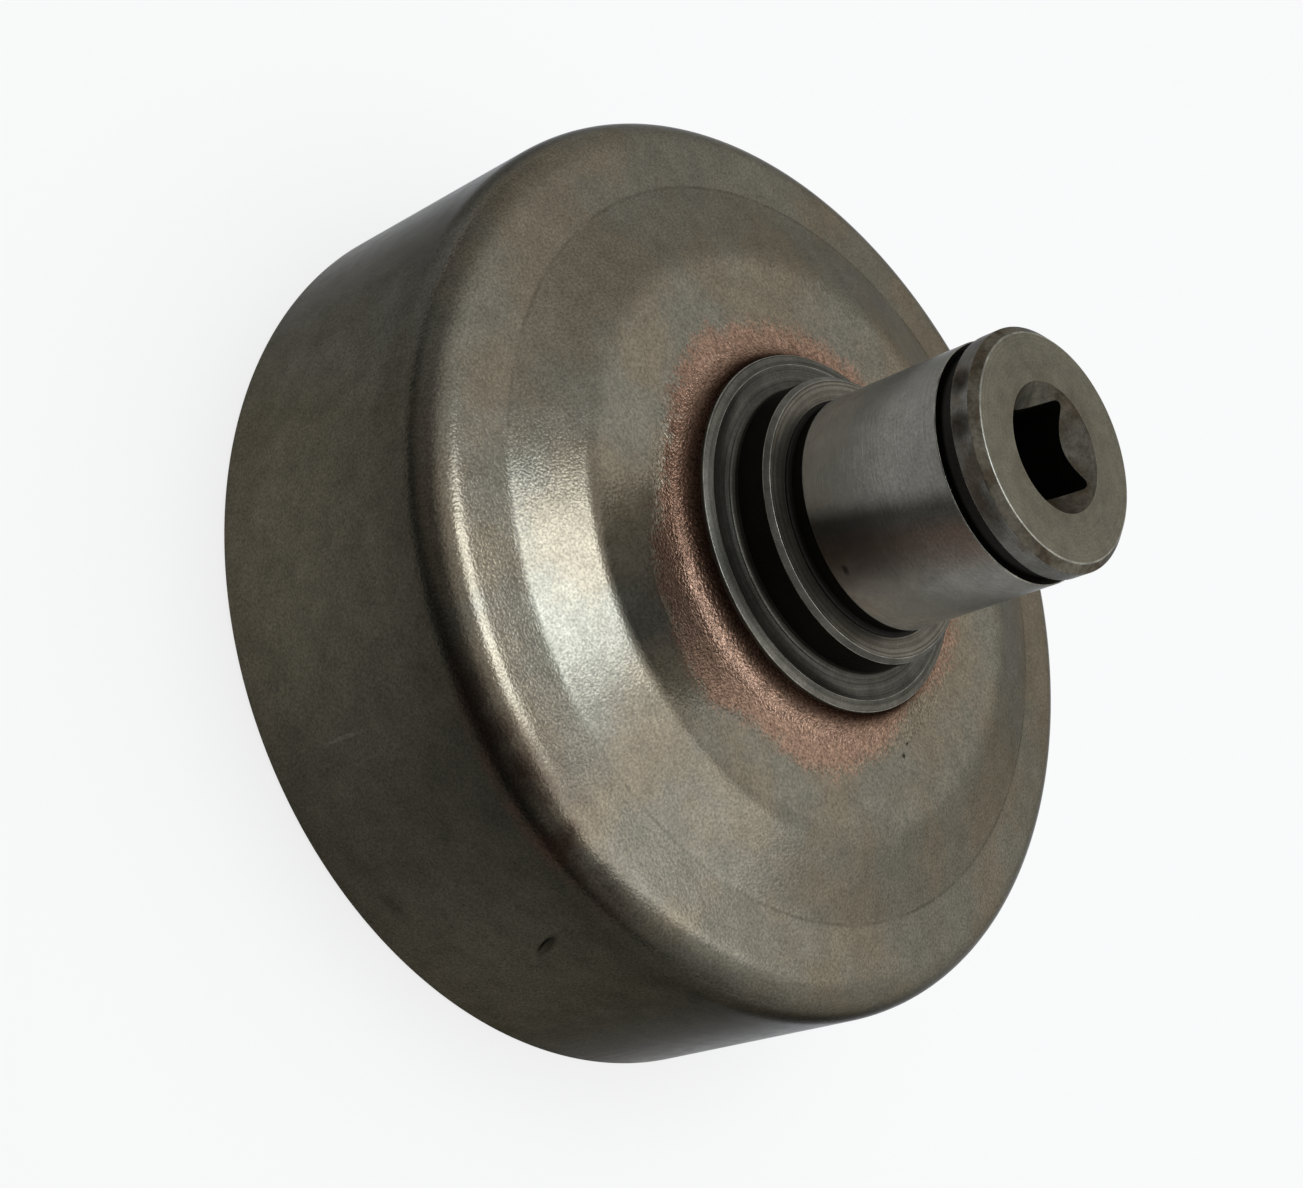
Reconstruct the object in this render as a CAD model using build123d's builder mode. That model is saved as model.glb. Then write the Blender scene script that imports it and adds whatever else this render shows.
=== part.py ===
from build123d import *
from math import atan, atan2, cos, degrees, radians, sin, sqrt, tan
import os

# Clutch drum of a brush cutter. A pressed steel cup is brazed with copper to a turned hub.
# Millimetres. The cup stands on its open rim, whose centre is the origin, and the shaft points along +Z.

# Pressed cup, one sheet of even thickness
cup_diameter = 59.0
sheet = 2.5
cup_height = 21.3  # open rim to the plateau that carries the hub
shoulder_width = 5.5  # wall to the crease
slope_width = 4.9  # crease to the plateau
plateau_rise = 1.7  # plateau above the crease
shoulder_tilt = 10.0  # degrees, fall of the shoulder from the crease to the corner
corner_radius = 2.8
inner_corner_radius = 1.0
crease_radius = 0.6
plateau_bend_radius = 3.5
rim_chamfer = 0.3

# Flange of the hub, which sits on the plateau
flange_diameter = 23.1
flange_thickness = 1.8
flange_land_width = 0.7  # bevelled ring round the front face
flange_land_fall = 0.17
face_dish_depth = 0.12  # shallow turned channel from the land to the collar's foot

# Collar, which the bearing's inner ring rests against
collar_diameter = 18.4
collar_height = 2.75
collar_chamfer = 0.3
collar_foot_radius = 0.3

# Journal for a bearing of 15 mm bore, with its undercut and circlip groove
journal_diameter = 15.0
undercut_width = 1.3
undercut_depth = 0.25
undercut_foot_radius = 0.35  # round corner between the undercut and the collar's face
groove_start = 11.3  # collar face to the groove
groove_width = 1.1
groove_depth = 0.4
tip_land = 1.25  # groove to the tip's chamfer
tip_chamfer = 0.5

# Square drive socket, broached over a drilled pilot hole
socket_side = 5.5
socket_corner_radius = 0.6
socket_depth = 15.0
mouth_rim = 0.39  # the countersink's rim past the socket's corners
mouth_angle = 90.0
broach_allowance = 0.3  # socket's side less its pilot hole

# Spigot through the cup's middle hole
spigot_diameter = 16.0
spigot_clearance = 0.05
spigot_projection = 2.0  # stands out inside the cup
spigot_chamfer = 0.5

# Copper braze round the flange
braze_radius = 1.7  # hollow fillet
braze_below_edge = 0.25  # bare steel left under the flange's edge
braze_film = 0.1
braze_film_width = 1.1  # film past the foot of the fillet

# Sizes that follow from these
cup_radius = cup_diameter / 2
crease_radius_from_axis = cup_radius - shoulder_width
plateau_radius = crease_radius_from_axis - slope_width
crease_z = cup_height - plateau_rise
dish_tilt = degrees(atan(plateau_rise / slope_width))
corner_z = crease_z - shoulder_width * tan(radians(shoulder_tilt))

spigot_radius = spigot_diameter / 2
spigot_end_z = cup_height - sheet - spigot_projection
flange_radius = flange_diameter / 2
flange_face_z = cup_height + flange_thickness
flange_edge_z = flange_face_z - flange_land_fall
land_radius = flange_radius - flange_land_width
collar_radius = collar_diameter / 2
collar_z = flange_face_z + collar_height
foot_radius_from_axis = collar_radius + collar_foot_radius
journal_radius = journal_diameter / 2
undercut_radius = journal_radius - undercut_depth
undercut_z = collar_z + undercut_width
groove_z = collar_z + groove_start
tip_z = groove_z + groove_width + tip_land + tip_chamfer

socket_corner_reach = socket_side / sqrt(2) - socket_corner_radius * (sqrt(2) - 1)
mouth_radius = socket_corner_reach + mouth_rim
pilot_radius = (socket_side - broach_allowance) / 2

braze_top_z = flange_edge_z - braze_below_edge
braze_floor_z = cup_height + braze_film
braze_centre_z = braze_floor_z + braze_radius
braze_reach = sqrt(braze_radius**2 - (braze_centre_z - braze_top_z) ** 2)
braze_foot_radius = flange_radius + braze_reach
braze_edge_radius = braze_foot_radius + braze_film_width


def under(corner, tilt_inside, tilt_outside):
    """The corner of the sheet's lower face, below a corner between two stretches of its upper face."""
    inside, outside = radians(tilt_inside), radians(tilt_outside)
    reach = sheet / (1 + cos(outside - inside))
    radius = corner[0] - reach * (sin(inside) + sin(outside))
    height = corner[1] - reach * (cos(inside) + cos(outside))
    return (radius, height)


# Pressed cup
plateau_corner = (plateau_radius, cup_height)
crease_corner = (crease_radius_from_axis, crease_z)
wall_corner = (cup_radius, corner_z)
hole_radius = spigot_radius + spigot_clearance

with BuildPart() as drum_cup:
    with BuildSketch(Plane.XZ):
        with BuildLine():
            outside = FilletPolyline(
                (hole_radius, cup_height),
                plateau_corner,
                crease_corner,
                wall_corner,
                (cup_radius, 0),
                radius=(plateau_bend_radius, crease_radius, corner_radius),
            )
            inside = FilletPolyline(
                (hole_radius, cup_height - sheet),
                under(plateau_corner, 0, dish_tilt),
                under(crease_corner, dish_tilt, shoulder_tilt),
                under(wall_corner, shoulder_tilt, 90),
                (cup_radius - sheet, 0),
                radius=(plateau_bend_radius - sheet, crease_radius + sheet, inner_corner_radius),
            )
            Line(outside @ 0, inside @ 0)
            Line(outside @ 1, inside @ 1)
        make_face()
    revolve(axis=Axis.Z)
    rim_edges = drum_cup.faces().sort_by(Axis.Z)[0].edges()
    chamfer(rim_edges, length=rim_chamfer)
drum_cup.part.label = "drum_cup"

# Turned hub
with BuildPart() as hub_shaft:
    with BuildSketch(Plane.XZ):
        with BuildLine():
            Polyline(
                (land_radius, flange_face_z),
                (flange_radius, flange_edge_z),
                (flange_radius, cup_height),
                (spigot_radius, cup_height),
                (spigot_radius, spigot_end_z + spigot_chamfer),
                (spigot_radius - spigot_chamfer, spigot_end_z),
                (0, spigot_end_z),
                (0, tip_z),
                (journal_radius - tip_chamfer, tip_z),
                (journal_radius, tip_z - tip_chamfer),
                (journal_radius, groove_z + groove_width),
                (journal_radius - groove_depth, groove_z + groove_width),
                (journal_radius - groove_depth, groove_z),
                (journal_radius, groove_z),
                (journal_radius, undercut_z),
                (undercut_radius, undercut_z - undercut_depth),
                (undercut_radius, collar_z + undercut_foot_radius),
            )
            undercut_foot = CenterArc(
                (undercut_radius + undercut_foot_radius, collar_z + undercut_foot_radius),
                undercut_foot_radius,
                start_angle=180,
                arc_size=90,
            )
            Polyline(
                undercut_foot @ 1,
                (collar_radius - collar_chamfer, collar_z),
                (collar_radius, collar_z - collar_chamfer),
                (collar_radius, flange_face_z + collar_foot_radius),
            )
            collar_foot = CenterArc(
                (foot_radius_from_axis, flange_face_z + collar_foot_radius),
                collar_foot_radius,
                start_angle=180,
                arc_size=90,
            )
            ThreePointArc(
                collar_foot @ 1,
                ((foot_radius_from_axis + land_radius) / 2, flange_face_z - face_dish_depth),
                (land_radius, flange_face_z),
            )
        make_face()
    revolve(axis=Axis.Z)

    with Locations((0, 0, tip_z)):
        CounterSinkHole(
            radius=pilot_radius,
            counter_sink_radius=mouth_radius,
            counter_sink_angle=mouth_angle,
        )
    with BuildSketch(Plane.XY.offset(tip_z)) as socket:
        Rectangle(socket_side, socket_side)
        fillet(socket.vertices(), radius=socket_corner_radius)
    extrude(amount=-socket_depth, mode=Mode.SUBTRACT)
hub_shaft.part.label = "hub_shaft"

# Copper braze, a hollow fillet that thins out to a film on the plateau
with BuildPart() as braze_fillet:
    with BuildSketch(Plane.XZ):
        with BuildLine():
            hollow = CenterArc(
                (braze_foot_radius, braze_centre_z),
                braze_radius,
                start_angle=270,
                arc_size=-degrees(atan2(braze_reach, braze_centre_z - braze_top_z)),
            )
            Polyline(
                hollow @ 0,
                (braze_edge_radius, braze_floor_z),
                (braze_edge_radius, cup_height),
                (flange_radius, cup_height),
                hollow @ 1,
            )
        make_face()
    revolve(axis=Axis.Z)
braze_fillet.part.label = "braze_fillet"

os.makedirs("parts", exist_ok=True)
export_step(drum_cup.part, "parts/drum_cup.step")
export_step(hub_shaft.part, "parts/hub_shaft.step")
export_step(braze_fillet.part, "parts/braze_fillet.step")
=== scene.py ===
"""Finish, wear and lighting of the clutch drum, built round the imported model. Metres, +Z up."""

from math import atan, cos, pi, radians, sin, sqrt, tan

import bpy
import numpy as np
from mathutils import Matrix, Vector, noise


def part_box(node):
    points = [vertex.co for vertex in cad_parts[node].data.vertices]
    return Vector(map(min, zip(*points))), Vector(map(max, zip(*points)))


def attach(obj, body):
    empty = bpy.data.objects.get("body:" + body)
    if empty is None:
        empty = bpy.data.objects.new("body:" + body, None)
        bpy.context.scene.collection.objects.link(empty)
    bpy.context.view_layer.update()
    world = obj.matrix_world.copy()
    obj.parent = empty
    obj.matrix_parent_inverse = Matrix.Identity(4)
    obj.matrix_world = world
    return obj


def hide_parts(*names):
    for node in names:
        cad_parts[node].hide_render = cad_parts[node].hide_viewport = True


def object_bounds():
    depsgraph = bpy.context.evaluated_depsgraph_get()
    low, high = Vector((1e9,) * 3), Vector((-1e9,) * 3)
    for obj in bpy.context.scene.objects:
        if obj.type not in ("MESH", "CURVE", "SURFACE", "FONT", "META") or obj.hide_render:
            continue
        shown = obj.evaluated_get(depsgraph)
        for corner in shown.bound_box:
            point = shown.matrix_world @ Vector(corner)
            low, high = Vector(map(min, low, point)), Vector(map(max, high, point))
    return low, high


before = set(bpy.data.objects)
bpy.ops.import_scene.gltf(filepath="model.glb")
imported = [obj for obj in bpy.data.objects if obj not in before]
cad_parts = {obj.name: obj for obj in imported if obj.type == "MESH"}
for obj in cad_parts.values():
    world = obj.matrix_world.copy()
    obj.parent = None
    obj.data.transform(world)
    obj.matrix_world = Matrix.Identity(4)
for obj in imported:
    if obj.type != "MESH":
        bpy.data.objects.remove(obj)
cad_low, cad_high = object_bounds()

mm = 0.001

# Main sizes, from the frame
cup_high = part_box("drum_cup")[1]
hub_low, hub_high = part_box("hub_shaft")
cup_radius = cup_high.y
cup_height = cup_high.z
flange_radius = hub_high.y
spigot_end = hub_low.z
tip = hub_high.z

# Pressed cup
sheet = 2.5 * mm
shoulder_width = 5.5 * mm
slope_width = 4.9 * mm
plateau_rise = 1.7 * mm
shoulder_tilt = radians(10)
corner_radius = 2.8 * mm
inner_corner_radius = 1.0 * mm
crease_rounding = 3.2 * mm
plateau_bend_radius = 3.5 * mm
rim_chamfer = 0.3 * mm
crease_radius = cup_radius - shoulder_width
plateau_radius = crease_radius - slope_width
crease_height = cup_height - plateau_rise
dish_tilt = atan(plateau_rise / slope_width)
corner_height = crease_height - shoulder_width * tan(shoulder_tilt)

# Hub
flange_thickness = 1.8 * mm
flange_land_width = 0.7 * mm
flange_land_fall = 0.17 * mm
face_dish_depth = 0.12 * mm
collar_radius = 9.2 * mm
collar_thickness = 2.75 * mm
collar_chamfer = 0.3 * mm
collar_foot_radius = 0.3 * mm
journal_radius = 7.5 * mm
undercut_width = 1.3 * mm
undercut_depth = 0.25 * mm
undercut_foot_radius = 0.35 * mm
groove_start = 11.3 * mm
groove_width = 1.1 * mm
groove_depth = 0.4 * mm
tip_chamfer = 0.5 * mm
spigot_radius = 8.0 * mm
spigot_clearance = 0.05 * mm
spigot_chamfer = 0.5 * mm
flange_face = cup_height + flange_thickness
flange_edge = flange_face - flange_land_fall
land_radius = flange_radius - flange_land_width
collar_face = flange_face + collar_thickness
undercut_radius = journal_radius - undercut_depth
undercut_end = collar_face + undercut_width
groove_low = collar_face + groove_start
groove_high = groove_low + groove_width
groove_radius = journal_radius - groove_depth

# Drive socket
socket_half = 2.75 * mm
socket_corner_radius = 0.6 * mm
socket_depth = 15.0 * mm
mouth_radius = 4.03 * mm
pilot_radius = 2.6 * mm
socket_floor = tip - socket_depth

# Braze
braze_radius = 1.7 * mm
braze_below_edge = 0.25 * mm
braze_film = 0.1 * mm
film_past_copper = 0.4 * mm  # the film's mesh goes this far past the copper's edge
film_least_width = 1.2 * mm
film_dip = 0.03  # the film's edge lies this share of its height under the plateau
ripple = 0.08 * mm
ripple_fineness = 9.0  # more of it makes the waves shorter

# Copper ran further out at some azimuths than at others: azimuth, half width, reach
film_radius = 14.3 * mm
film_runs = [
    (radians(-66), radians(15), 2.0 * mm),
    (radians(-90), radians(12), 1.1 * mm),
    (radians(-28), radians(16), 1.1 * mm),
    (radians(-125), radians(18), -0.9 * mm),
    (radians(20), radians(16), -1.8 * mm),
    (radians(-160), radians(14), 0.3 * mm),
]

# Gouge in the cup's wall
gouge_azimuth = radians(-51.8)
gouge_height = 11.1 * mm
gouge_lean = radians(25.5)
gouge_half_length = 1.5 * mm
gouge_half_width = 0.30 * mm
gouge_depth = 0.22 * mm
gouge_burr = 0.15  # share of the depth
gouge_skin = 0.2 * mm  # what lies deeper in the sheet isn't pressed in

# Rounding that handling left on the turned edges
worn_edge = 0.07 * mm
tip_edge = 0.15 * mm

# Lower part of the collar's wall, which has the flange's finish as a painted reflection of the flange
collar_foot_reflection = 0.45 * mm

# Share of the channel's width that its arc takes up
channel_arc = 0.98


# Camera

camera_aim = Vector((-0.345, -0.024, 7.277)) * mm
camera_distance = 164.84 * mm
camera_azimuth = radians(-86.1)
camera_elevation = radians(40.82)
camera_roll = radians(69.21)
camera_lens = 68.85
sensor_width = 36.0
nearest_seen = 5 * mm
furthest_seen = 20.0


def direction(azimuth, elevation):
    return Vector((cos(azimuth) * cos(elevation), sin(azimuth) * cos(elevation), sin(elevation)))


def add_camera():
    data = bpy.data.cameras.new("camera")
    data.lens = camera_lens
    data.sensor_width = sensor_width
    data.clip_start = nearest_seen
    data.clip_end = furthest_seen
    camera = bpy.data.objects.new("camera", data)
    bpy.context.scene.collection.objects.link(camera)
    back = direction(camera_azimuth, camera_elevation)
    level = back.to_track_quat("Z", "Y").to_matrix()
    turn = level @ Matrix.Rotation(camera_roll, 3, "Z")
    camera.matrix_world = Matrix.Translation(camera_aim + back * camera_distance) @ turn.to_4x4()
    bpy.context.scene.camera = camera


# Materials


class Nodes:
    """A node tree under construction, with short words for the nodes that are used most."""

    def __init__(self, tree):
        self.tree = tree

    def add(self, kind, **inputs):
        node = self.tree.nodes.new(kind)
        for name, value in inputs.items():
            self.put(value, node.inputs[name])
        return node

    def put(self, value, socket):
        if isinstance(value, bpy.types.NodeSocket):
            self.tree.links.new(value, socket)
        elif isinstance(value, (tuple, list)) and len(value) == 3 and socket.type == "RGBA":
            socket.default_value = (*value, 1.0)
        else:
            socket.default_value = value

    def math(self, operation, a, b=0.0, c=0.0):
        node = self.add("ShaderNodeMath")
        node.operation = operation
        for value, socket in zip((a, b, c), node.inputs):
            self.put(value, socket)
        return node.outputs[0]

    def times(self, first, *others):
        """The product of them all."""
        for other in others:
            first = self.math("MULTIPLY", first, other)
        return first

    def squares(self, a, b):
        """The sum of two squares."""
        return self.math("ADD", self.times(a, a), self.times(b, b))

    def spread(self, value, from_low, from_high, to_low, to_high, smooth=False):
        """value carried from one range to another and kept within it."""
        node = self.add("ShaderNodeMapRange")
        node.interpolation_type = "SMOOTHSTEP" if smooth else "LINEAR"
        for given, socket in zip((value, from_low, from_high, to_low, to_high), node.inputs):
            self.put(given, socket)
        return node.outputs["Result"]

    def ease(self, value, low, high):
        """0 where value is at low and 1 at high, with a smooth rise between them."""
        return self.spread(value, low, high, 0.0, 1.0, smooth=True)

    def band(self, value, low, high, soft):
        """1 between low and high, 0 outside them."""
        rise = self.ease(value, low - soft, low + soft)
        fall = self.ease(value, high + soft, high - soft)
        return self.times(rise, fall)

    def hump(self, value, middle, half_width):
        """1 at the middle, falling away smoothly on both sides."""
        away = self.math("DIVIDE", self.math("SUBTRACT", value, middle), half_width)
        return self.math("EXPONENT", self.times(away, away, -1.0))

    def grey(self, value):
        return self.add("ShaderNodeCombineColor", Red=value, Green=value, Blue=value).outputs[0]

    def mix(self, factor, a, b, how="MIX"):
        node = self.add("ShaderNodeMix")
        node.data_type = "RGBA"
        node.blend_type = how
        self.put(factor, node.inputs[0])
        self.put(a, node.inputs[6])
        self.put(b, node.inputs[7])
        return node.outputs[2]


class Finish(Nodes):
    """A material for the object, placed by the object's own coordinates in metres."""

    def __init__(self, name, roughness, metallic):
        self.material = bpy.data.materials.new(name)
        self.material.use_nodes = True
        super().__init__(self.material.node_tree)
        self.shader = self.tree.nodes["Principled BSDF"]
        self.shader.inputs["Metallic"].default_value = metallic
        self.shader.inputs["Roughness"].default_value = roughness
        self.shader.inputs["Specular Tint"].default_value = (*edge_tint, 1.0)
        self.shader.inputs["Specular IOR Level"].default_value = specular_level
        self.place = self.add("ShaderNodeTexCoord").outputs["Object"]
        self.x, self.y, self.z = self.add("ShaderNodeSeparateXYZ", Vector=self.place).outputs
        self.radius = self.math("SQRT", self.squares(self.x, self.y))
        self.azimuth = self.math("ARCTAN2", self.y, self.x)
        self.height = None

    def grain(self, scale, detail=2.0, rough=0.5, stretch=None):
        """Noise about 0.5 with features of about 1/scale metres."""
        place = self.place
        if stretch:
            place = self.add("ShaderNodeMapping", Vector=place, Scale=stretch).outputs["Vector"]
        node = self.add("ShaderNodeTexNoise", Vector=place, Scale=scale, Detail=detail, Roughness=rough)
        return node.outputs["Fac"]

    def lines(self, value, scale, detail=3.0):
        """Noise along one measure, as turning leaves it."""
        node = self.tree.nodes.new("ShaderNodeTexNoise")
        node.noise_dimensions = "1D"
        for name, given in {"W": value, "Scale": scale, "Detail": detail, "Roughness": 0.6}.items():
            self.put(given, node.inputs[name])
        return node.outputs["Fac"]

    def spot(self, azimuth, half_angle, height, half_height):
        """1 at a place on a round wall, falling smoothly to 0 at its edge."""
        across = self.math("DIVIDE", self.math("SUBTRACT", self.azimuth, azimuth), half_angle)
        along = self.math("DIVIDE", self.math("SUBTRACT", self.z, height), half_height)
        return self.ease(self.squares(across, along), 1.0, 0.0)

    def fleck(self, azimuth, radius, size):
        """1 at a place on a flat face, falling smoothly to 0 at its edge."""
        across = self.math("SUBTRACT", self.x, radius * cos(azimuth))
        along = self.math("SUBTRACT", self.y, radius * sin(azimuth))
        return self.ease(self.squares(across, along), size * size, 0.0)

    def patchy(self, scale, detail, low, high):
        """Patches: 0 where the grain is under low and 1 where it is over high."""
        return self.ease(self.grain(scale, detail), low, high)

    def tint(self, colour, other, where, share=1.0):
        """colour with that share of the other one mixed in, where the value is 1."""
        return self.mix(self.times(where, share), colour, other)

    def shade(self, colour, value, low, high):
        """colour times a grey that runs from low to high as value runs from 0.25 to 0.75."""
        return self.mix(1.0, colour, self.grey(self.spread(value, 0.25, 0.75, low, high)), "MULTIPLY")

    def bump(self, value, depth):
        """Adds relief of that depth in metres on top of what is there."""
        node = self.add("ShaderNodeBump", Height=value, Distance=depth)
        if self.height is not None:
            self.put(self.height, node.inputs["Normal"])
        self.height = node.outputs["Normal"]

    def roughness(self, value, low, high):
        self.put(self.spread(value, 0.25, 0.75, low, high), self.shader.inputs["Roughness"])

    def done(self, colour):
        self.put(colour, self.shader.inputs["Base Color"])
        if self.height is not None:
            self.put(self.height, self.shader.inputs["Normal"])
        return self.material


specular_level = 0.2
edge_tint = (0.35, 0.35, 0.35)  # oxidised metal hardly brightens towards its edges
# Shaded copy of the top's steel for the wall, with a lighter, cooler one for its -X side: painted shade and
# light
shaded_wall_colour = (0.085, 0.076, 0.055)
wall_lit_side_colour = (0.122, 0.118, 0.102)
top_colour = (0.198, 0.169, 0.123)
top_cool_colour = (0.186, 0.174, 0.138)
copper_colour = (0.305, 0.196, 0.139)
# Painted shade on the copper: browner on one side and darkest in the flange's shadow
copper_shaded_side_colour = (0.125, 0.068, 0.044)
copper_flange_shadow_colour = (0.050, 0.026, 0.017)
rust_colour = (0.048, 0.026, 0.018)
stain_colour = (0.030, 0.027, 0.020)
gouge_dark_colour = (0.014, 0.012, 0.009)
rub_colour = (0.26, 0.25, 0.21)
# Painted reflections on the seat: a dark band and a brown one of the copper
seat_dark_reflection_colour = (0.05, 0.046, 0.039)
seat_copper_reflection_colour = (0.12, 0.076, 0.052)
land_brown_colour = (0.070, 0.052, 0.034)
land_stain_colour = (0.016, 0.010, 0.005)
face_brown_colour = (0.115, 0.094, 0.066)
rough_brown_colour = (0.080, 0.060, 0.038)
grain_scale = 6500.0
ring_scale = 9000.0
turned_metallic = 0.75

# Marks on round walls: azimuth, half angle, height, half height
rust_place = (radians(-70), radians(22), 17.7 * mm, 1.7 * mm)
stain_place = (radians(-62.8), radians(3.6), 3.2 * mm, 0.8 * mm)
scratch_place = (radians(-84), radians(0.35), 7.2 * mm, 2.3 * mm)
nick_place = (radians(-67.8), radians(3.5), 28.1 * mm, 0.22 * mm)

# Marks on the cup's top: azimuth, radius, size
scuff_place = (radians(148.6), 18.6 * mm, 0.8 * mm)
fleck_places = [
    (radians(10.6), 14.2 * mm, 0.24 * mm),
    (radians(7.4), 14.8 * mm, 0.22 * mm),
    (radians(-166), 14.4 * mm, 0.26 * mm),
]

# Stretch of the wall where the painted shade is darkest
painted_shade_azimuth = radians(-73)
painted_shade_half_width = radians(20)

# Stains beside the tip: azimuth, half angle, share
land_stain_places = [
    (radians(-132), radians(10), 0.85),
    (radians(-110), radians(9), 0.85),
    (radians(-71), radians(16), 0.5),
]
land_stain_height = 38.8 * mm
land_stain_half_height = 1.1 * mm

# Painted reflections along the seat, a dark band and a brown one of the copper, which lean: each pair of
# angles is where it is 0 and where it is 1
seat_reflection_start = radians(-138)
seat_reflection_lean = radians(1.3) / mm
seat_dark_reflection_rise, seat_dark_reflection_fall = (radians(-1), radians(12)), (radians(48), radians(19))
seat_copper_reflection_rise, seat_copper_reflection_fall = (radians(12), radians(26)), (radians(56), radians(32))


def film_edge(finish):
    """Radius that the copper reaches at each azimuth."""
    edge = film_radius
    for azimuth, half_width, reach in film_runs:
        edge = finish.math("MULTIPLY_ADD", finish.hump(finish.azimuth, azimuth, half_width), reach, edge)
    return edge


def film_share(finish):
    """1 under the copper and 0 on bare steel and inside the cup, with a ragged and speckled edge."""
    inside = finish.math("SUBTRACT", film_edge(finish), finish.radius)
    ragged = finish.math("MULTIPLY_ADD", finish.grain(700, 3, 0.6), 2.6 * mm, -1.3 * mm)
    speckled = finish.math("MULTIPLY_ADD", finish.grain(4500, 1), 2.4 * mm, -1.2 * mm)
    inside = finish.math("ADD", inside, finish.math("ADD", ragged, speckled))
    outside = finish.ease(finish.z, cup_height - sheet, cup_height - sheet / 2)
    return finish.times(finish.ease(inside, -0.5 * mm, 0.8 * mm), outside)


def steel_of_the_top(finish):
    """Painted light and shade: a little darker on the slope, and paler on the plateau, most towards -Y."""
    steel = finish.tint(top_colour, top_cool_colour, finish.patchy(140, 3, 0.38, 0.62))
    # Painted shade on the slope and painted light on the plateau, palest towards -Y
    slope = finish.band(finish.radius, plateau_radius - 0.5 * mm, crease_radius, 0.5 * mm)
    plateau = finish.ease(finish.radius, plateau_radius, plateau_radius - 1.2 * mm)
    painted_light_amount = finish.spread(finish.y, -2 * mm, -14 * mm, 0.06, 0.17)
    painted_light_and_shade = finish.math("MULTIPLY_ADD", slope, -0.09, 1.0)
    painted_light_and_shade = finish.math("MULTIPLY_ADD", plateau, painted_light_amount, painted_light_and_shade)
    steel = finish.mix(1.0, steel, finish.grey(painted_light_and_shade), "MULTIPLY")
    steel = finish.shade(steel, finish.grain(85, 3), 0.92, 1.08)
    return finish.shade(steel, finish.grain(600, 3), 0.88, 1.12)


def copper(finish):
    """Copper with painted shade: darkest in the corner beside the flange, in the flange's shadow, and
    browner on the side towards -X and -Y.
    """
    colour = finish.shade(copper_colour, finish.grain(1500, 3, 0.7), 0.66, 1.30)
    # Painted shade on the copper's side towards -X and -Y
    side = finish.times(finish.ease(finish.y, -4 * mm, -11 * mm), finish.ease(finish.x, 6 * mm, -4 * mm))
    colour = finish.tint(colour, copper_shaded_side_colour, side, 0.75)
    # Painted shadow of the flange on the copper beside it
    clear = finish.ease(finish.radius, flange_radius, flange_radius + 0.8 * mm)
    return finish.mix(clear, copper_flange_shadow_colour, colour)


def steel_of_the_wall(finish):
    """Painted light and shade: lighter near the rim, darker towards the corner, most of all over one
    stretch, and lighter and cooler on the -X side.
    """
    side = finish.times(finish.x, -1 / cup_radius)
    painted_light_side = finish.ease(finish.math("ADD", side, finish.grain(90, 3)), 0.9, 1.7)
    steel = finish.mix(painted_light_side, shaded_wall_colour, wall_lit_side_colour)
    # Painted light and shade by height, side and azimuth
    painted_light_and_shade = finish.times(
        finish.spread(finish.z, 1 * mm, 13 * mm, 1.5, 0.90),
        finish.math("MULTIPLY_ADD", side, 0.25, 1.0),
        finish.math("MULTIPLY_ADD", finish.hump(finish.azimuth, painted_shade_azimuth, painted_shade_half_width), -0.42, 1.0),
        finish.spread(finish.z, 13.5 * mm, 17 * mm, 1.0, 0.7),
    )
    steel = finish.mix(1.0, steel, finish.grey(painted_light_and_shade), "MULTIPLY")
    return finish.shade(steel, finish.grain(500, 4, 0.6), 0.82, 1.18)


def gouge_darkening(finish):
    """1 along the floor of the gouge."""
    across = finish.times(finish.math("SUBTRACT", finish.azimuth, gouge_azimuth), cup_radius)
    along = finish.math("SUBTRACT", finish.z, gouge_height)
    length = finish.times(along, cos(gouge_lean) / gouge_half_length)
    length = finish.math("MULTIPLY_ADD", across, -sin(gouge_lean) / gouge_half_length, length)
    width = finish.times(across, cos(gouge_lean) / gouge_half_width)
    width = finish.math("MULTIPLY_ADD", along, sin(gouge_lean) / gouge_half_width, width)
    return finish.ease(finish.squares(length, width), 1.2, 0.3)


def marks(finish, colour):
    """Rust, stains, rubbed places, a dark mark in the gouge and a painted shade line along the crease, each
    where it is on the cup.
    """
    rust = finish.times(finish.spot(*rust_place), finish.patchy(500, 3, 0.30, 0.6))
    colour = finish.tint(colour, rust_colour, rust, 0.8)
    stain = finish.times(finish.spot(*stain_place), finish.patchy(900, 3, 0.3, 0.6))
    colour = finish.tint(colour, stain_colour, stain, 0.5)
    colour = finish.tint(colour, rub_colour, finish.spot(*scratch_place), 0.13)
    colour = finish.tint(colour, gouge_dark_colour, gouge_darkening(finish), 0.6)
    # A thin painted shade line along the crease
    crease_shade_line = finish.band(finish.radius, crease_radius - 0.08 * mm, crease_radius + 0.10 * mm, 0.12 * mm)
    colour = finish.tint(colour, stain_colour, finish.times(crease_shade_line, finish.patchy(300, 2, 0.3, 0.6)), 0.4)
    scuff = finish.times(finish.fleck(*scuff_place), finish.patchy(2500, 2, 0.45, 0.6))
    colour = finish.tint(colour, rub_colour, scuff, 0.6)
    for place in fleck_places:
        colour = finish.tint(colour, stain_colour, finish.fleck(*place))
    return colour


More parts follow.
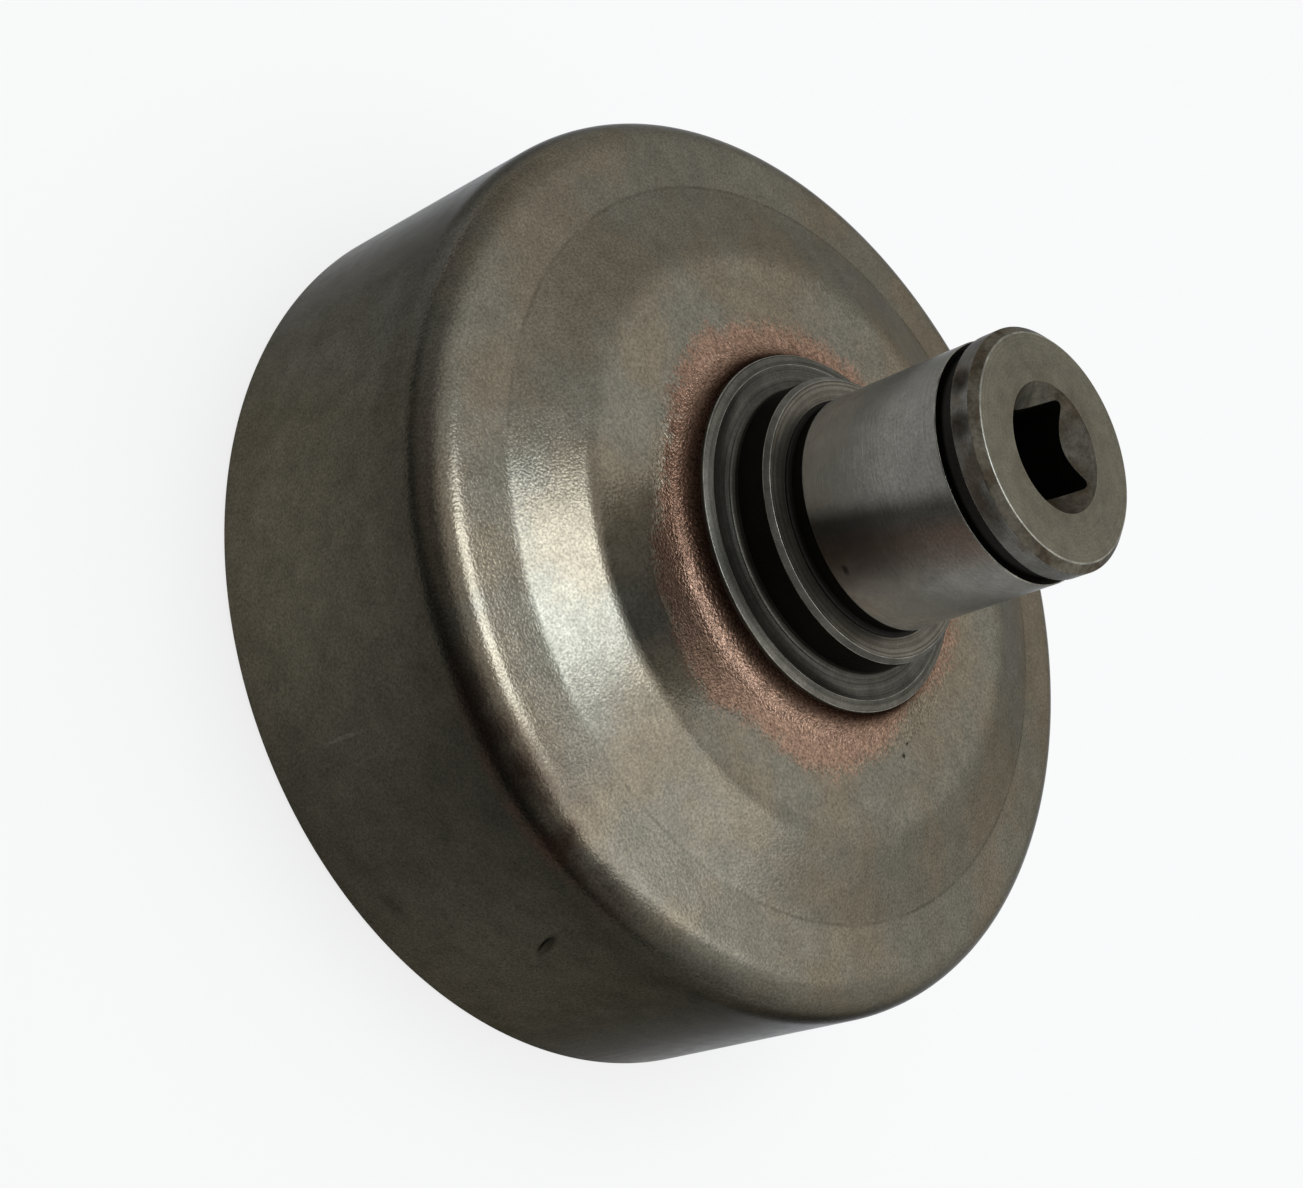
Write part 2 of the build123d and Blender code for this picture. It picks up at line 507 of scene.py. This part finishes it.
def pressed_steel():
    """Drawn sheet with the dull grain that tumbling and the furnace leave."""
    finish = Finish("pressed_steel", 0.2, 0.85)
    # Below the corner the wall's shaded copy of the steel takes over: painted shade
    top = finish.ease(finish.z, corner_height - 1.4 * mm, corner_height)
    steel = finish.mix(top, steel_of_the_wall(finish), steel_of_the_top(finish))
    steel = marks(finish, steel)
    colour = finish.mix(film_share(finish), steel, copper(finish))
    colour = finish.shade(colour, finish.grain(grain_scale, 1), 0.70, 1.30)
    finish.bump(finish.grain(grain_scale, 1), 0.011 * mm)
    corner = finish.band(finish.z, corner_height - 3.0 * mm, corner_height + 0.2 * mm, 0.8 * mm)
    finish.bump(finish.times(finish.grain(4400, 2), corner), 0.020 * mm)
    streaks = finish.grain(2400, 2, 0.5, (1, 1, 0.06))
    finish.bump(finish.times(streaks, finish.ease(finish.z, 7 * mm, 2 * mm)), 0.020 * mm)
    finish.roughness(finish.grain(900, 2), 0.16, 0.24)
    return finish.done(colour)


def turned_steel(name, colour, roughness, ring_depth=0.003 * mm, change=None):
    """Steel with the fine rings of the lathe, on faces and on rounds alike."""
    finish = Finish(name, roughness, turned_metallic)
    if change:
        colour = change(finish, colour)
    along = finish.math("ADD", finish.radius, finish.z)
    rings = finish.lines(along, ring_scale)
    shaded = finish.shade(colour, rings, 0.86, 1.14)
    shaded = finish.shade(shaded, finish.grain(900, 3), 0.88, 1.12)
    shaded = finish.shade(shaded, finish.grain(grain_scale, 1), 0.82, 1.18)
    finish.bump(rings, ring_depth)
    finish.bump(finish.grain(9000, 1), 0.002 * mm)
    return finish.done(shaded)


def worn(finish, colour):
    """Rubbed bright in some places and dull in others."""
    return finish.shade(colour, finish.grain(700, 3, 0.6), 0.35, 1.3)


def streaked(finish, colour):
    """Lighter and darker rings that the lathe left, here and there rubbed away."""
    across = finish.math("ADD", finish.radius, finish.z)
    sway = finish.math("MULTIPLY_ADD", finish.grain(160, 2), 0.25 * mm, across)
    colour = finish.shade(colour, finish.lines(sway, 4200.0, 2.0), 0.55, 1.5)
    return finish.shade(colour, finish.grain(500, 3, 0.6), 0.75, 1.25)


def seat_tint(finish, colour):
    """Darker towards the groove, with painted reflections along it, a dark band and a brown one of the
    copper, and a nick near its foot.
    """
    towards_groove = finish.ease(finish.z, undercut_end, groove_low)
    colour = finish.mix(towards_groove, colour, tuple(part * 0.36 for part in colour))
    angle = finish.math("MULTIPLY_ADD", finish.z, -seat_reflection_lean, finish.azimuth)
    angle = finish.math("SUBTRACT", angle, seat_reflection_start)
    dark_reflection = finish.times(finish.ease(angle, *seat_dark_reflection_rise), finish.ease(angle, *seat_dark_reflection_fall))
    colour = finish.tint(colour, seat_dark_reflection_colour, dark_reflection, 0.9)
    # Painted reflection of the copper on the seat
    brown = finish.times(finish.ease(angle, *seat_copper_reflection_rise), finish.ease(angle, *seat_copper_reflection_fall))
    colour = finish.tint(colour, seat_copper_reflection_colour, brown, 0.6)
    return finish.tint(colour, stain_colour, finish.spot(*nick_place), 0.8)


def land_stains(finish, colour):
    """Brown stains between the groove and the tip."""
    colour = finish.tint(colour, land_brown_colour, finish.patchy(450, 3, 0.42, 0.62), 0.75)
    ragged = finish.math("MULTIPLY_ADD", finish.grain(1500, 2), 0.8, 0.6)
    for azimuth, half_angle, share in land_stain_places:
        stain = finish.spot(azimuth, half_angle, land_stain_height, land_stain_half_height)
        stain = finish.math("MINIMUM", finish.times(stain, ragged, share), 1.0)
        colour = finish.tint(colour, land_stain_colour, stain)
    return finish.shade(colour, finish.grain(700, 3, 0.6), 0.8, 1.2)


def old_face(finish, colour):
    """Cloudy and a little brown towards the countersink."""
    brown = finish.times(finish.ease(finish.radius, 6.2 * mm, 4.0 * mm), finish.patchy(500, 3, 0.4, 0.6))
    colour = finish.tint(colour, face_brown_colour, brown, 0.5)
    colour = finish.shade(colour, finish.grain(1100, 3, 0.6), 0.88, 1.12)
    return finish.shade(colour, finish.grain(250, 3), 0.88, 1.12)


def rough_brown(finish, colour):
    """Brown in patches, with a coarse grain."""
    brown = finish.ease(finish.grain(420, 3, 0.6), 0.40, 0.60)
    colour = finish.tint(colour, rough_brown_colour, brown, 0.8)
    return finish.shade(colour, finish.grain(1800, 3, 0.6), 0.65, 1.35)


def copper_braze():
    """Copper as it set in the furnace, with a sparkling grain."""
    finish = Finish("copper_braze", 0.3, 0.9)
    colour = finish.mix(film_share(finish), steel_of_the_top(finish), copper(finish))
    colour = finish.shade(colour, finish.grain(5200, 2), 0.45, 1.55)
    fillet = finish.spread(finish.radius, 12.9 * mm, 13.7 * mm, 1.0, 0.4)
    finish.bump(finish.times(finish.grain(6800, 1), fillet), 0.070 * mm)
    return finish.done(colour)


# Meshes

# Numbers of points round the axis, and steps along an outline
drum_sides = 370
hub_sides = 296
braze_sides = 540
drum_spacing = 0.45 * mm
hub_spacing = 0.3 * mm
arc_step = radians(6)
sharp_from = radians(28)
same_place = 1e-7
wall_tolerance = 1e-6

# Finer mesh round the gouge
gouge_patch = 3 * mm
gouge_patch_angle = radians(5)
gouge_patch_sides = 60
gouge_patch_parts = 3

# Rows of the socket and of the braze
floor_rows, wall_rows, cone_rows = 3, 24, 8
fillet_rows, film_rows = 20, 11


def outline(corners, spacing):
    """Points along an outline and the finish of each stretch between them.

    A corner is its radius, its height, its rounding and the finishes of the round and of what follows it.
    """
    path, finishes = [], []

    def reach(point, finish):
        if path and np.linalg.norm(point - path[-1]) < same_place:
            return
        if path:
            steps = max(1, int(np.ceil(np.linalg.norm(point - path[-1]) / spacing)))
            start = path[-1]
            for step in range(1, steps + 1):
                path.append(start + (point - start) * step / steps)
                finishes.append(finish)
        else:
            path.append(point)

    finish = None
    for index, (radius, height, rounding, round_finish, next_finish) in enumerate(corners):
        corner = np.array((radius, height))
        if not rounding:
            reach(corner, finish)
            finish = next_finish
            continue
        before = np.array(corners[index - 1][:2]) - corner
        after = np.array(corners[(index + 1) % len(corners)][:2]) - corner
        before /= np.linalg.norm(before)
        after /= np.linalg.norm(after)
        turn = pi - np.arccos(np.clip(before @ after, -1, 1))
        first = corner + before * rounding * tan(turn / 2)
        last = corner + after * rounding * tan(turn / 2)
        middle = corner + (before + after) / np.linalg.norm(before + after) * rounding / cos(turn / 2)
        reach(first, finish)
        start = first - middle
        side = last - middle
        steps = max(2, int(np.ceil(turn / arc_step)))
        for step in range(1, steps + 1):
            share = step / steps
            blend = (start * sin((1 - share) * turn) + side * sin(share * turn)) / sin(turn)
            reach(middle + blend, round_finish)
        finish = next_finish
    return np.array(path), finishes


def revolve(name, radius, height, azimuth, finishes, materials, closed):
    """A mesh of rows of points round the axis, with one finish for each strip between two rows."""
    points = np.stack([radius * np.cos(azimuth), radius * np.sin(azimuth), height], axis=-1)
    rows, sides = radius.shape
    row = np.arange(rows if closed else rows - 1)[:, None]
    side = np.arange(sides)[None, :]
    next_row, next_side = (row + 1) % rows, (side + 1) % sides
    here, there = row * sides, next_row * sides
    corners = [here + side, there + side, there + next_side, here + next_side]
    quads = np.stack(np.broadcast_arrays(*corners), axis=-1).reshape(-1, 4)
    mesh = bpy.data.meshes.new(name)
    mesh.from_pydata(points.reshape(-1, 3).tolist(), [], quads.tolist())
    names = list(materials)
    for material in materials.values():
        mesh.materials.append(material)
    index = np.repeat([names.index(finish) for finish in finishes], sides)
    mesh.polygons.foreach_set("material_index", index.astype(np.int32))
    mesh.shade_smooth()
    mesh.set_sharp_from_angle(angle=sharp_from)
    mesh.validate()
    piece = bpy.data.objects.new(name, mesh)
    bpy.context.scene.collection.objects.link(piece)
    return piece


def rows(path, azimuth):
    """The rows of an outline that is the same all the way round."""
    radius = np.repeat(path[:, :1], len(azimuth), axis=1)
    height = np.repeat(path[:, 1:], len(azimuth), axis=1)
    return radius, height


def under(corner, tilt_inside, tilt_outside):
    """The corner of the sheet's lower face, below a corner between two stretches of its upper face."""
    reach = sheet / (1 + cos(tilt_outside - tilt_inside))
    radius = corner[0] - reach * (sin(tilt_inside) + sin(tilt_outside))
    height = corner[1] - reach * (cos(tilt_inside) + cos(tilt_outside))
    return (radius, height)


def refine(path, finishes, low, high, parts):
    """Splits the steps of an outline between two heights on the cup's outside into smaller ones."""
    points, kept = [path[0]], []
    for start, end, finish in zip(path[:-1], path[1:], finishes):
        outside = min(start[0], end[0]) > cup_radius - wall_tolerance
        count = parts if outside and low < (start[1] + end[1]) / 2 < high else 1
        for part in range(1, count + 1):
            points.append(start + (end - start) * part / count)
            kept.append(finish)
    return np.array(points), kept


def gouge(radius, height, azimuth):
    """Pushes a short slanted gouge into the cup's wall, with a slight burr round it."""
    across = (azimuth - gouge_azimuth) * cup_radius
    along = height - gouge_height
    length = (along * cos(gouge_lean) - across * sin(gouge_lean)) / gouge_half_length
    width = (across * cos(gouge_lean) + along * sin(gouge_lean)) / gouge_half_width
    away = length**2 + width**2
    outside = radius > cup_radius - gouge_skin
    dent = np.exp(-(away**1.5)) - gouge_burr * np.exp(-((away - 2.0) ** 2))
    return radius - np.where(outside, gouge_depth * dent, 0)


def drum_cup():
    """The cup, outlined down its outside and back up its inside, with the gouge pressed in."""
    steel = "pressed_steel"
    hole = spigot_radius + spigot_clearance
    plateau_corner = (plateau_radius, cup_height)
    crease_corner = (crease_radius, crease_height)
    wall_corner = (cup_radius, corner_height)
    corners = [
        (hole, cup_height, 0, steel, steel),
        (*plateau_corner, plateau_bend_radius, steel, steel),
        (*crease_corner, crease_rounding, steel, steel),
        (*wall_corner, corner_radius, steel, steel),
        (cup_radius, rim_chamfer, 0, steel, steel),
        (cup_radius - rim_chamfer, 0, 0, steel, steel),
        (cup_radius - sheet + rim_chamfer, 0, 0, steel, steel),
        (cup_radius - sheet, rim_chamfer, 0, steel, steel),
        (*under(wall_corner, shoulder_tilt, pi / 2), inner_corner_radius, steel, steel),
        (*under(crease_corner, dish_tilt, shoulder_tilt), crease_rounding, steel, steel),
        (*under(plateau_corner, 0, dish_tilt), plateau_bend_radius - sheet, steel, steel),
        (hole, cup_height - sheet, 0, steel, steel),
    ]
    path, finishes = outline(corners, drum_spacing)
    low, high = gouge_height - gouge_patch, gouge_height + gouge_patch
    path, finishes = refine(path, finishes, low, high, gouge_patch_parts)
    first, last = gouge_azimuth - gouge_patch_angle, gouge_azimuth + gouge_patch_angle
    fine = np.linspace(first, last, gouge_patch_sides) % (2 * pi)
    azimuth = np.unique(np.concatenate([np.linspace(0, 2 * pi, drum_sides, endpoint=False), fine]))
    radius, height = rows(path, azimuth)
    turned = (azimuth + pi) % (2 * pi) - pi
    radius = gouge(radius, height, turned[None, :])
    piece = revolve("drum", radius, height, azimuth, finishes + [steel], {steel: pressed_steel()}, True)
    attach(piece, "root")
    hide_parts("drum_cup")


def square_reach(azimuth):
    """Distance from the axis to the wall of the square socket, whose corners are rounded."""
    turned = np.mod(azimuth + pi / 4, pi / 2) - pi / 4
    flat = socket_half / np.cos(turned)
    middle = socket_half - socket_corner_radius
    along = middle * (np.cos(turned) + np.abs(np.sin(turned)))
    corner = along + np.sqrt(np.maximum(along**2 - 2 * middle**2 + socket_corner_radius**2, 0))
    return np.where(socket_half * np.abs(np.tan(turned)) <= middle, flat, corner)


def between(first, last, count):
    """Rows from first to last, the first left out."""
    share = np.linspace(0, 1, count + 1)[1:, None]
    return first + (last - first) * share


def hub_finishes():
    # Edges are lighter: partly rubbed bright by wear, partly a painted highlight along them
    rubbed_bright_and_glint = (0.34, 0.33, 0.28)
    return {
        "tip_face": turned_steel("tip_face", (0.156, 0.143, 0.107), 0.34, 0.0007 * mm, change=old_face),
        "tip_edge": turned_steel("tip_edge", rubbed_bright_and_glint, 0.26, change=worn),
        "tip_chamfer": turned_steel("tip_chamfer", (0.170, 0.152, 0.116), 0.36, change=rough_brown),
        "worn_edge": turned_steel("worn_edge", rubbed_bright_and_glint, 0.26, change=worn),
        "seat": turned_steel("seat", (0.66, 0.64, 0.57), 0.24, 0.001 * mm, change=seat_tint),
        "land": turned_steel("land", (0.150, 0.146, 0.130), 0.26, change=land_stains),
        "recess": turned_steel("recess", (0.018, 0.016, 0.014), 0.36),
        "collar_face": turned_steel("collar_face", (0.135, 0.122, 0.098), 0.34, change=streaked),
        "collar_chamfer": turned_steel("collar_chamfer", (0.20, 0.19, 0.16), 0.30, change=streaked),
        "collar_wall": turned_steel("collar_wall", (0.022, 0.020, 0.016), 0.38),
        "flange": turned_steel("flange", (0.092, 0.086, 0.071), 0.30, change=streaked),
        "channel": turned_steel("channel", (0.077, 0.072, 0.060), 0.30, change=streaked),
        "socket": turned_steel("socket", (0.020, 0.019, 0.016), 0.5),
        "countersink": turned_steel("countersink", (0.125, 0.115, 0.090), 0.36, change=rough_brown),
    }


def hub():
    """The hub, outlined from the tip down to the spigot and back up through the socket."""
    foot_end = collar_radius + collar_foot_radius
    dish_middle = ((foot_end + land_radius) / 2, flange_face - 2 * face_dish_depth)
    half_width = (land_radius - foot_end) / 2
    dish_slope = atan(2 * face_dish_depth / half_width)
    dish_rounding = channel_arc * half_width / cos(dish_slope) / tan(dish_slope)
    corners = [
        (mouth_radius, tip, 0, "tip_face", "tip_face"),
        (journal_radius - tip_chamfer, tip, tip_edge, "tip_edge", "tip_chamfer"),
        (journal_radius, tip - tip_chamfer, worn_edge, "tip_chamfer", "land"),
        (journal_radius, groove_high, worn_edge, "worn_edge", "recess"),
        (groove_radius, groove_high, 0, "recess", "recess"),
        (groove_radius, groove_low, 0, "recess", "recess"),
        (journal_radius, groove_low, worn_edge, "worn_edge", "seat"),
        (journal_radius, undercut_end, worn_edge, "seat", "recess"),
        (undercut_radius, undercut_end - undercut_depth, 0, "recess", "recess"),
        (undercut_radius, collar_face, undercut_foot_radius, "recess", "collar_face"),
        (collar_radius - collar_chamfer, collar_face, worn_edge, "worn_edge", "collar_chamfer"),
        (collar_radius, collar_face - collar_chamfer, worn_edge, "worn_edge", "collar_wall"),
        # The flange's finish carried up the collar's wall: painted reflection of the flange
        (collar_radius, flange_face + collar_foot_reflection, 0, "collar_wall", "flange"),
        (collar_radius, flange_face, collar_foot_radius, "flange", "channel"),
        (foot_end, flange_face, 0, "channel", "channel"),
        (*dish_middle, dish_rounding, "channel", "channel"),
        (land_radius, flange_face, worn_edge, "worn_edge", "flange"),
        (flange_radius, flange_edge, worn_edge, "worn_edge", "flange"),
        (flange_radius, cup_height, 0, "flange", "flange"),
        (spigot_radius, cup_height, 0, "flange", "flange"),
        (spigot_radius, spigot_end + spigot_chamfer, 0, "flange", "flange"),
        (spigot_radius - spigot_chamfer, spigot_end, 0, "flange", "flange"),
        (pilot_radius, spigot_end, 0, "flange", "socket"),
        (pilot_radius, socket_floor, 0, "socket", "socket"),
    ]
    path, finishes = outline(corners, hub_spacing)
    azimuth = np.linspace(0, 2 * pi, hub_sides, endpoint=False)
    radius, height = rows(path, azimuth)
    square = square_reach(azimuth)
    meeting = tip - (mouth_radius - square)
    inner_radius = [
        between(radius[-1], square, floor_rows),
        np.repeat(square[None], wall_rows, axis=0),
        between(square, np.full_like(square, mouth_radius), cone_rows)[:-1],
    ]
    inner_height = [
        np.full((floor_rows, hub_sides), socket_floor),
        between(np.full_like(square, socket_floor), meeting, wall_rows),
        between(meeting, np.full_like(square, tip), cone_rows)[:-1],
    ]
    radius = np.concatenate([radius, *inner_radius])
    height = np.concatenate([height, *inner_height])
    finishes += ["socket"] * (floor_rows + wall_rows) + ["countersink"] * cone_rows
    piece = revolve("hub", radius, height, azimuth, finishes, hub_finishes(), True)
    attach(piece, "root")
    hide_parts("hub_shaft")


def braze():
    """The fillet and its film, which dips under the plateau's surface beyond the copper's edge."""
    material = "copper_braze"
    top = flange_edge - braze_below_edge
    floor = cup_height + braze_film
    middle = floor + braze_radius
    reach = sqrt(braze_radius**2 - (middle - top) ** 2)
    foot = flange_radius + reach
    azimuth = np.linspace(0, 2 * pi, braze_sides, endpoint=False)
    turned = (azimuth + pi) % (2 * pi) - pi
    edge = film_radius + sum(run * np.exp(-(((turned - at) / half) ** 2)) for at, half, run in film_runs)
    edge = np.maximum(edge + film_past_copper, foot + film_least_width)
    sweep = np.linspace(atan(reach / (middle - top)), 0, fillet_rows)[:, None]
    share = np.linspace(0, 1, film_rows + 1)[1:, None]
    film = braze_film * ((1 - share) ** 2 - film_dip * share)
    radius = [
        np.repeat(foot - braze_radius * np.sin(sweep), braze_sides, axis=1),
        foot + (edge - foot) * share,
    ]
    height = [
        np.repeat(middle - braze_radius * np.cos(sweep), braze_sides, axis=1),
        np.repeat(cup_height + film, braze_sides, axis=1),
    ]
    radius, height = np.concatenate(radius), np.concatenate(height)
    places = [Vector((cos(angle), sin(angle), 0)) * ripple_fineness for angle in azimuth]
    wander = np.array([noise.noise(place) for place in places])[None, :]
    height[:fillet_rows] += wander * ripple * np.linspace(1, 0, fillet_rows)[:, None]
    finishes = [material] * (len(radius) - 1)
    piece = revolve("braze", radius, height, azimuth, finishes, {material: copper_braze()}, False)
    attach(piece, "root")
    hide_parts("braze_fillet")


# Studio

floor_size = 12.0
floor_colour = (0.9, 0.9, 0.9)
floor_white_seen = 0.8  # share of plain white as the camera sees it, the rest is lit and shaded
floor_white_mirrored = 0.3
paper_front = (-110 * mm, -45 * mm)  # the white paper ends in front of the object, where the table is dark
table_colour = (0.24, 0.24, 0.24)


def add_floor():
    bpy.ops.mesh.primitive_plane_add(size=floor_size, location=(0, 0, cad_low.z))
    floor = bpy.context.object
    floor.name = "floor"
    material = bpy.data.materials.new("floor")
    material.use_nodes = True
    material.node_tree.nodes.clear()
    made = Nodes(material.node_tree)
    ray = made.add("ShaderNodeLightPath").outputs
    place = made.add("ShaderNodeTexCoord").outputs["Object"]
    y = made.add("ShaderNodeSeparateXYZ", Vector=place).outputs["Y"]
    paper = made.ease(y, *paper_front)
    mirrored = made.times(made.math("MAXIMUM", ray["Is Glossy Ray"], ray["Is Transmission Ray"]), paper)
    share = made.times(ray["Is Camera Ray"], floor_white_seen)
    share = made.math("MULTIPLY_ADD", mirrored, floor_white_mirrored, share)
    matt = made.add("ShaderNodeBsdfDiffuse", Color=made.mix(paper, table_colour, floor_colour))
    white = made.add("ShaderNodeEmission", Strength=1.0)
    both = made.add("ShaderNodeMixShader")
    for value, socket in zip((share, matt.outputs[0], white.outputs[0]), both.inputs):
        made.put(value, socket)
    made.add("ShaderNodeOutputMaterial", Surface=both.outputs[0])
    floor.data.materials.append(material)


def softbox(name, azimuth, elevation, distance, width, length, radiance, colour):
    """A flat lamp that faces the object, its length along Y, as bright as a surface of that radiance."""
    data = bpy.data.lights.new(name, "AREA")
    data.shape = "RECTANGLE"
    data.size = width
    data.size_y = length
    data.energy = radiance * pi * width * length
    data.color = colour
    light = bpy.data.objects.new(name, data)
    bpy.context.scene.collection.objects.link(light)
    towards = direction(radians(azimuth), radians(elevation))
    across = Vector((0, 1, 0)).cross(towards).normalized()
    turn = Matrix((across, towards.cross(across), towards)).transposed().to_4x4()
    light.matrix_world = Matrix.Translation(towards * distance) @ turn


# The room's brightness by direction: +Y points away from the camera and +Z up
room_front = 0.04
room_side = 0.42
room_back = 0.38
room_overhead = 0.44
room_low = 0.22
room_above_camera = 0.25
window_light = 0.42
window_heights = (0.60, 0.82)
window_soft = 0.08


def add_world():
    """A room, bright behind the object with a window high up there, dimmer overhead and dark in front."""
    world = bpy.data.worlds.new("world")
    world.use_nodes = True
    bpy.context.scene.world = world
    made = Nodes(world.node_tree)
    place = made.add("ShaderNodeTexCoord").outputs["Generated"]
    x, y, z = made.add("ShaderNodeSeparateXYZ", Vector=place).outputs
    back = made.spread(made.math("MULTIPLY_ADD", x, 0.15, y), -0.95, 0.95, 0.0, 1.0)
    far = made.math("POWER", back, 3.0)
    across = made.spread(x, -0.4, 0.2, 0.4, 1.25)
    window = made.times(made.band(z, *window_heights, window_soft), far, across)
    overhead = made.times(made.ease(z, 0.55, 0.95), made.spread(x, -0.6, 0.2, 1.0, 0.25))
    towards_camera = made.math("MULTIPLY_ADD", x, 0.26, made.times(y, -0.97))
    beside = made.math("SUBTRACT", 1.0, made.ease(towards_camera, 0.72, 0.95))
    low = made.times(made.ease(z, 0.6, 0.25), made.ease(y, 0.1, -0.4), beside)
    above_camera = made.times(made.ease(z, 0.72, 0.92), made.ease(y, 0.35, -0.15))
    parts = [
        (back, room_side),
        (far, room_back),
        (window, window_light),
        (overhead, room_overhead),
        (low, room_low),
        (above_camera, room_above_camera),
    ]
    room = room_front
    for where, light in parts:
        room = made.math("MULTIPLY_ADD", where, light, room)
    background = world.node_tree.nodes["Background"]
    made.put(made.grey(room), background.inputs["Color"])


key_colour = (0.90, 1.0, 1.12)
fill_colour = (0.97, 1.0, 1.05)


def add_lamps():
    """A soft key lamp nearly overhead, and a larger, dimmer one further towards +X."""
    softbox(
        "key_softbox",
        azimuth=132,
        elevation=82,
        distance=0.5,
        width=0.19,
        length=0.19,
        radiance=5.15,
        colour=key_colour,
    )
    softbox(
        "back_softbox",
        azimuth=26,
        elevation=69,
        distance=0.6,
        width=0.26,
        length=0.46,
        radiance=1.3,
        colour=fill_colour,
    )


add_camera()
drum_cup()
hub()
braze()
add_floor()
add_world()
add_lamps()
bpy.context.scene.view_settings.view_transform = "Standard"
